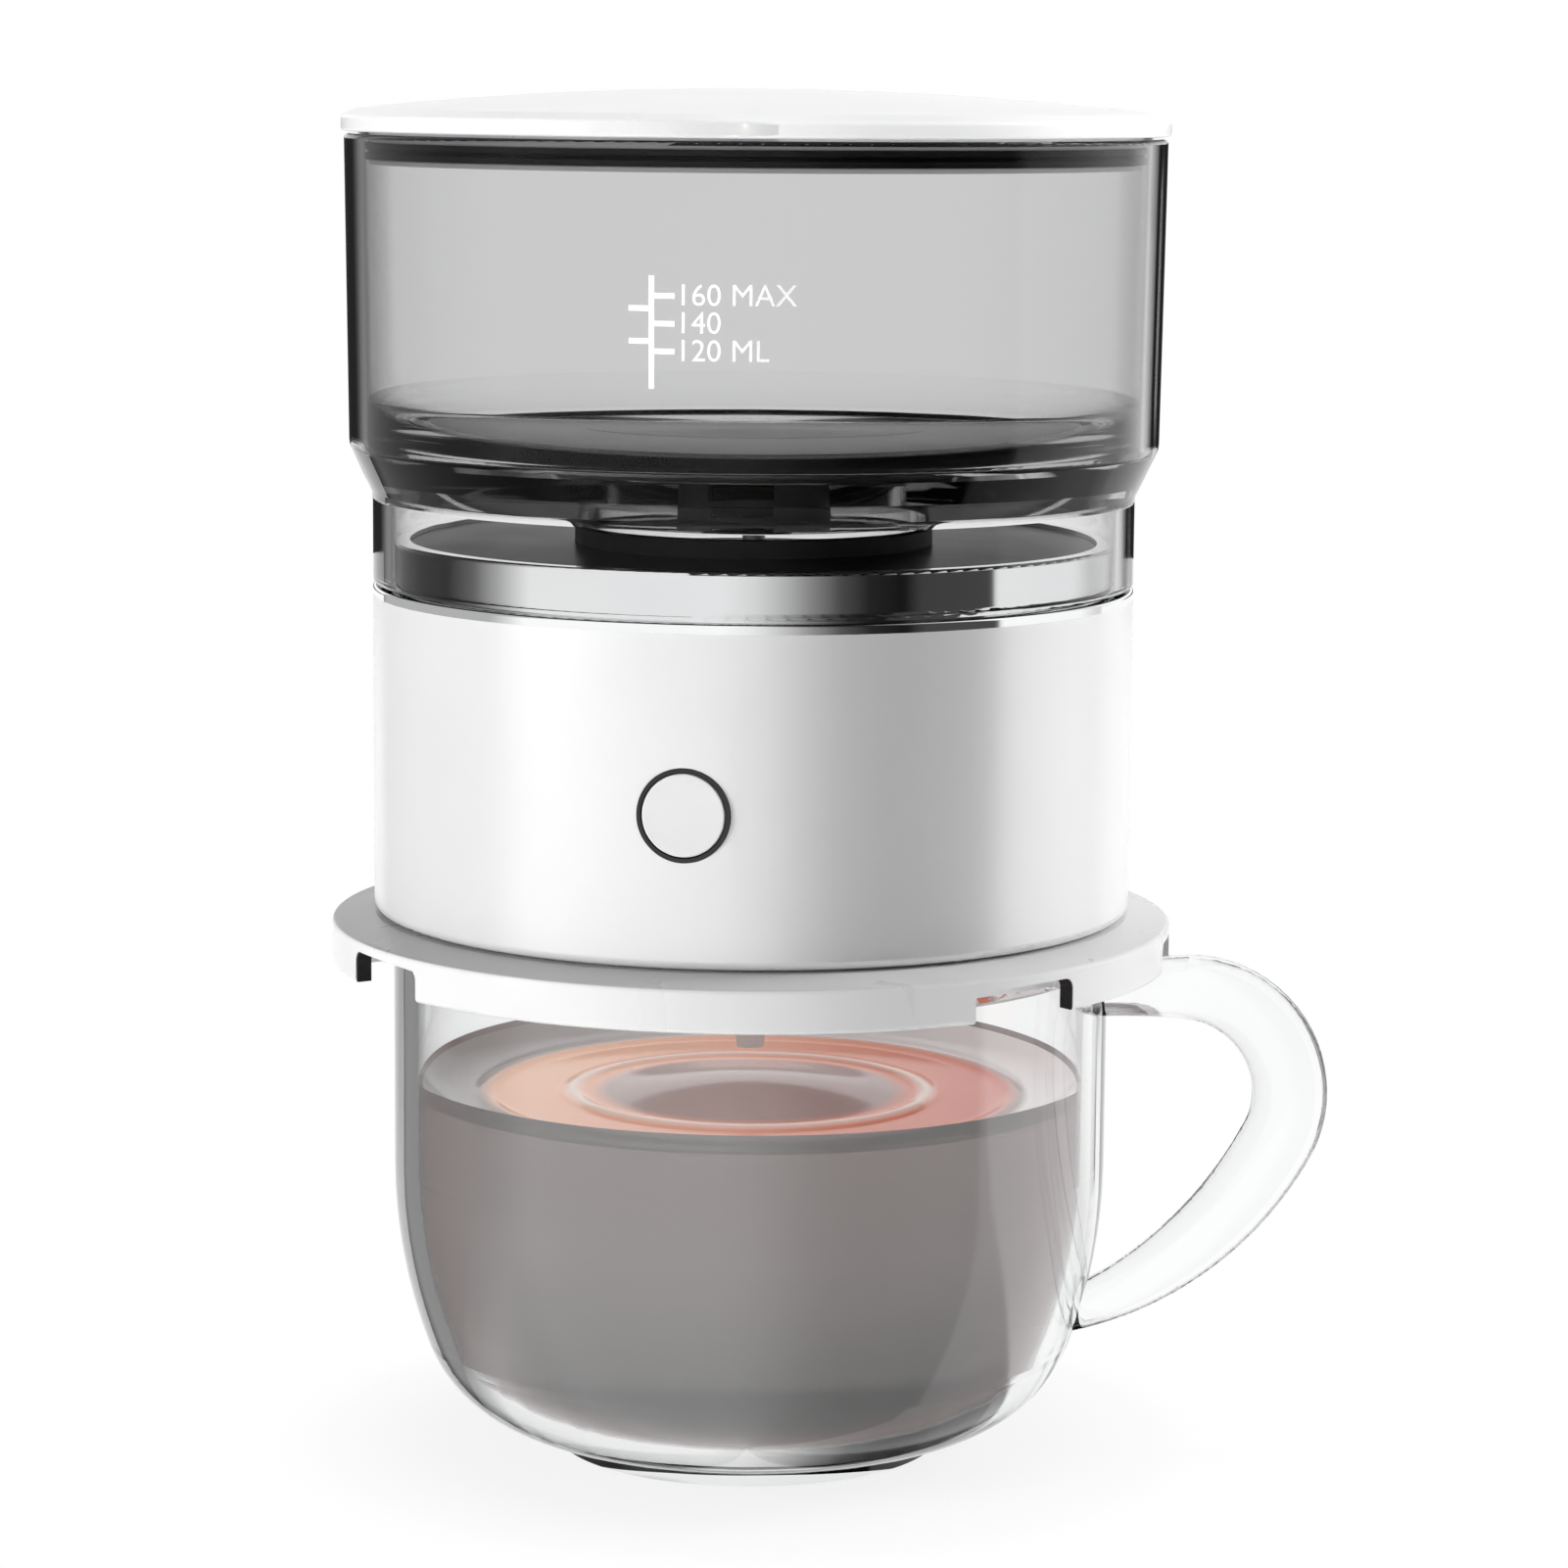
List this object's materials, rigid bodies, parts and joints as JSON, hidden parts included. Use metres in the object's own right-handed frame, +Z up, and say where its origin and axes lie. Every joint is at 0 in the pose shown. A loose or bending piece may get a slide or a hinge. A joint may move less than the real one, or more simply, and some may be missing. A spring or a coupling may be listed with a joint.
{
  "type": "drip coffee maker",
  "caption": "Portable drip coffee maker: lidded water tank, white powered body with push button, drip ring and filter, standing on a clear glass mug with a loop handle.",
  "frame": {"origin": "middle of the mug's foot, on the table", "axes": "+Z up along the round axis, -Y towards the push button, +X towards the mug's handle"},
  "size_m": [0.1312, 0.11, 0.1783],
  "materials": {
    "clear_glass": "clear polished glass",
    "holder_white": "moulded, light gloss",
    "filter_black": "fine moulded grain",
    "filter_steel": "perforated sheet",
    "body_white": "glossy white moulding",
    "trim_chrome": "mirror plated",
    "deck_black": "glossy black moulding",
    "seal_black": "soft matt silicone",
    "liner_grey": "moulded, matt",
    "screw_steel": "plain steel",
    "cell_wrap": "shrink sleeve",
    "motor_can": "drawn can",
    "shaft_steel": "ground",
    "gear_white": "acetal",
    "shower_grey": "acetal",
    "coil_brass": "lacquered winding",
    "button_white": "glossy white moulding",
    "bezel_grey": "matt",
    "board_green": "solder mask",
    "smoke_clear": "smoked clear plastic",
    "lid_white": "glossy white moulding"
  },
  "bodies": {
    "mug": {"mug": "clear_glass"},
    "holder": {"cup_holder": "holder_white", "filter_frame": "filter_black", "filter_mesh": "filter_steel"},
    "unit": {"body_shell": "body_white", "trim_ring": "trim_chrome", "top_deck": "deck_black", "collar_seal": "seal_black", "pin_seal": "seal_black", "chamber_liner": "liner_grey", "base_screws": "screw_steel", "battery_cells": "cell_wrap", "drive_motor": "motor_can", "hub_cap": "filter_black", "solenoid_coil": "coil_brass", "button_bezel": "bezel_grey", "tact_switch": "motor_can", "control_board": "board_green", "charge_board": "board_green", "charge_socket": "shaft_steel"},
    "button": {"power_button": "button_white", "switch_plunger": "filter_black"},
    "shower": {"sprinkler": "shower_grey"},
    "pinion": {"drive_pinion": "gear_white", "motor_shaft": "shaft_steel"},
    "pin": {"lift_pin": "shaft_steel"},
    "tank": {"water_tank": "smoke_clear", "valve_seat": "seal_black", "valve_cage": "deck_black"},
    "valve": {"valve_plunger": "filter_black"},
    "lid": {"tank_lid": "lid_white", "lid_seal": "seal_black"}
  },
  "joints": [
    {"name": "holder_lift", "type": "slide", "parent": "mug", "child": "holder", "axis": [0, 0, 1], "range_m": [0, 0.06]},
    {"name": "unit_lift", "type": "slide", "parent": "holder", "child": "unit", "axis": [0, 0, 1], "range_m": [0, 0.07]},
    {"name": "tank_lift", "type": "slide", "parent": "unit", "child": "tank", "axis": [0, 0, 1], "range_m": [0, 0.05]},
    {"name": "lid_lift", "type": "slide", "parent": "tank", "child": "lid", "axis": [0, 0, 1], "range_m": [0, 0.05]},
    {"name": "button_press", "type": "slide", "parent": "unit", "child": "button", "axis": [0, 1, 0], "range_m": [0, 0.0008], "stiffness_N_per_m": 1500, "springref_m": -0.0004},
    {"name": "shower_spin", "type": "hinge", "parent": "unit", "child": "shower", "pos_m": [0, 0, 0.1065], "axis": [0, 0, 1], "continuous": true},
    {"name": "pinion_spin", "type": "hinge", "parent": "unit", "child": "pinion", "pos_m": [0.0392, 0, 0.1065], "axis": [0, 0, 1], "continuous": true},
    {"name": "pin_lift", "type": "slide", "parent": "unit", "child": "pin", "axis": [0, 0, 1], "range_m": [0, 0.0018]},
    {"name": "valve_lift", "type": "slide", "parent": "tank", "child": "valve", "axis": [0, 0, 1], "range_m": [0, 0.0018]}
  ],
  "couplings": [
    {"joint": "pinion_spin", "follows": "shower_spin", "ratio": -6},
    {"joint": "valve_lift", "follows": "pin_lift", "ratio": 1}
  ]
}
